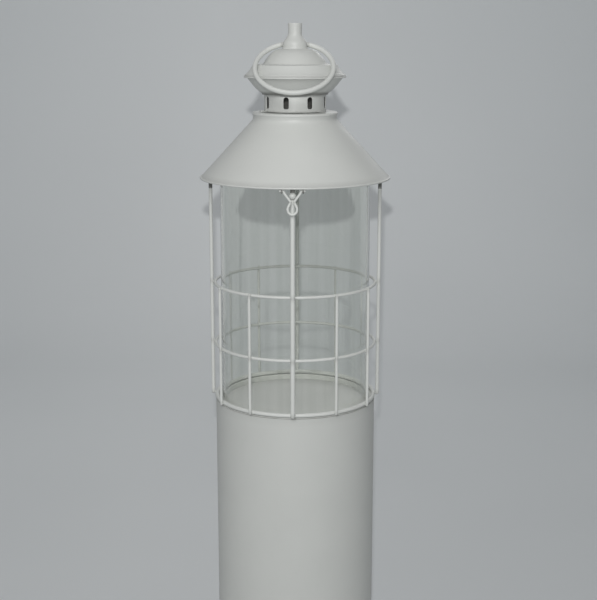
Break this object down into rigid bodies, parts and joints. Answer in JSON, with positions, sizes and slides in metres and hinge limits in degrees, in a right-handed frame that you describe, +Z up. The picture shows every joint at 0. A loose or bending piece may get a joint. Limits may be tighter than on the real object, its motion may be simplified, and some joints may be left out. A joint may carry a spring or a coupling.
{
  "type": "pillar candle holder",
  "caption": "Tall round metal pillar with a lantern head: glass cylinder in a wire cage, hinged conical roof, vented cap, ring handle and front latch.",
  "frame": {"origin": "centre of the round footprint, on the floor under the foot pads", "axes": "+Z up; -Y is the front, the side with the latch; +X to the right seen from the front"},
  "size_m": [0.186, 0.186, 0.869],
  "materials": {
    "pillar_paint": "matte off-white powder coat",
    "cage_paint": "satin off-white powder coat",
    "roof_paint": "satin off-white powder coat",
    "clear_glass": "clear, polished",
    "dark_rubber": "matte",
    "zinc_steel": "zinc plated"
  },
  "bodies": {
    "holder": {"pillar_shell": "pillar_paint", "pillar_base_pan": "zinc_steel", "foot_pad_1": "dark_rubber", "foot_pad_2": "dark_rubber", "foot_pad_3": "dark_rubber", "foot_pad_4": "dark_rubber", "candle_tray": "pillar_paint", "cage_bottom_ring": "cage_paint", "cage_middle_ring": "cage_paint", "cage_upper_ring": "cage_paint", "eaves_ring": "cage_paint", "post_front": "cage_paint", "post_right": "cage_paint", "post_back": "cage_paint", "post_left": "cage_paint", "basket_bar_1": "cage_paint", "basket_bar_2": "cage_paint", "basket_bar_3": "cage_paint", "basket_bar_4": "cage_paint", "basket_bar_5": "cage_paint", "basket_bar_6": "cage_paint", "basket_bar_7": "cage_paint", "basket_bar_8": "cage_paint", "glass_chimney": "clear_glass", "latch_ball": "cage_paint", "cage_hinge_knuckle": "cage_paint", "hinge_pin": "zinc_steel"},
    "roof": {"roof_cone": "roof_paint", "roof_hinge_leaf": "roof_paint", "latch_lug_left": "roof_paint", "latch_lug_right": "roof_paint", "vent_collar": "roof_paint", "cap_bowl": "roof_paint", "cap_dome": "roof_paint", "finial": "roof_paint", "cap_washer": "zinc_steel", "cap_nut": "zinc_steel"},
    "handle": {"ring_handle": "cage_paint"},
    "latch": {"latch_wire": "cage_paint"}
  },
  "joints": [
    {"name": "roof_hinge", "type": "hinge", "parent": "holder", "child": "roof", "pos_m": [0, 0.0881, 0.7185], "axis": [-1, 0, 0], "range_deg": [0, 110]},
    {"name": "handle_swing", "type": "hinge", "parent": "roof", "child": "handle", "pos_m": [0, 0, 0.8488], "axis": [-1, 0, 0], "range_deg": [0, 252.8]},
    {"name": "latch_swing", "type": "hinge", "parent": "roof", "child": "latch", "pos_m": [0, -0.0886, 0.7199], "axis": [-1, 0, 0], "range_deg": [0, 90]}
  ]
}
